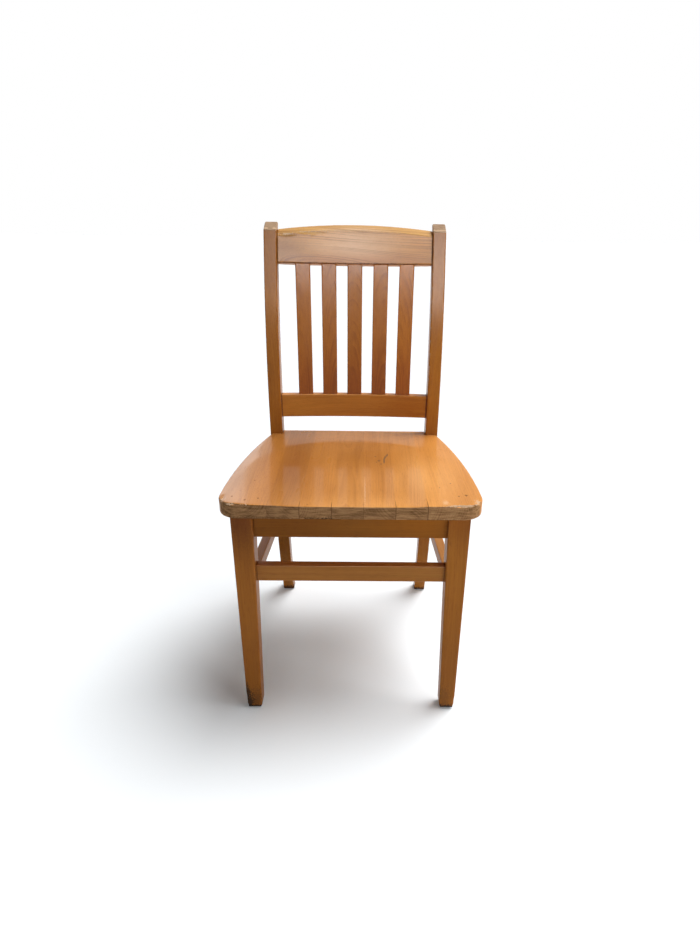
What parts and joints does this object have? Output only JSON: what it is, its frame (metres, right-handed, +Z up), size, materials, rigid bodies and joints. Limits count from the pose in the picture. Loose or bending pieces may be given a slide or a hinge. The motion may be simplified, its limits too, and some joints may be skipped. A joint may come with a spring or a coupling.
{
  "type": "slat back chair",
  "caption": "Varnished hardwood side chair with a dished solid seat, tapered front legs, curved rear posts and an arched slatted back.",
  "frame": {"origin": "on the floor, at the middle of the chair's width and depth", "axes": "+Z up; -Y towards the front of the chair; +X to the right of someone facing its front"},
  "size_m": [0.455, 0.4755, 0.8798],
  "materials": {
    "leg_wood": "worn amber varnish",
    "post_wood": "worn amber varnish",
    "rail_wood": "worn amber varnish",
    "stretcher_wood": "worn amber varnish",
    "crest_wood": "worn amber varnish",
    "lower_rail_wood": "worn amber varnish",
    "slat_wood": "worn amber varnish",
    "seat_wood": "worn amber varnish",
    "block_wood": "bare planed wood",
    "screw_steel": "plain steel"
  },
  "bodies": {
    "root": {"front_leg_left": "leg_wood", "front_leg_right": "leg_wood", "rear_post_left": "post_wood", "rear_post_right": "post_wood", "front_seat_rail": "rail_wood", "rear_seat_rail": "rail_wood", "side_seat_rail_left": "rail_wood", "side_seat_rail_right": "rail_wood", "front_stretcher": "stretcher_wood", "rear_stretcher": "stretcher_wood", "side_stretcher_left": "stretcher_wood", "side_stretcher_right": "stretcher_wood", "crest_rail": "crest_wood", "lower_back_rail": "lower_rail_wood", "corner_block_front_left": "block_wood", "corner_block_front_right": "block_wood", "corner_block_rear_left": "block_wood", "corner_block_rear_right": "block_wood", "seat_screws": "screw_steel", "leg_screws": "screw_steel", "back_slat_1": "slat_wood", "back_slat_2": "slat_wood", "back_slat_3": "slat_wood", "back_slat_4": "slat_wood", "back_slat_5": "slat_wood", "seat_stave_1": "seat_wood", "seat_stave_2": "seat_wood", "seat_stave_3": "seat_wood", "seat_stave_4": "seat_wood", "seat_stave_5": "seat_wood", "seat_stave_6": "seat_wood", "seat_stave_7": "seat_wood"}
  },
  "joints": []
}
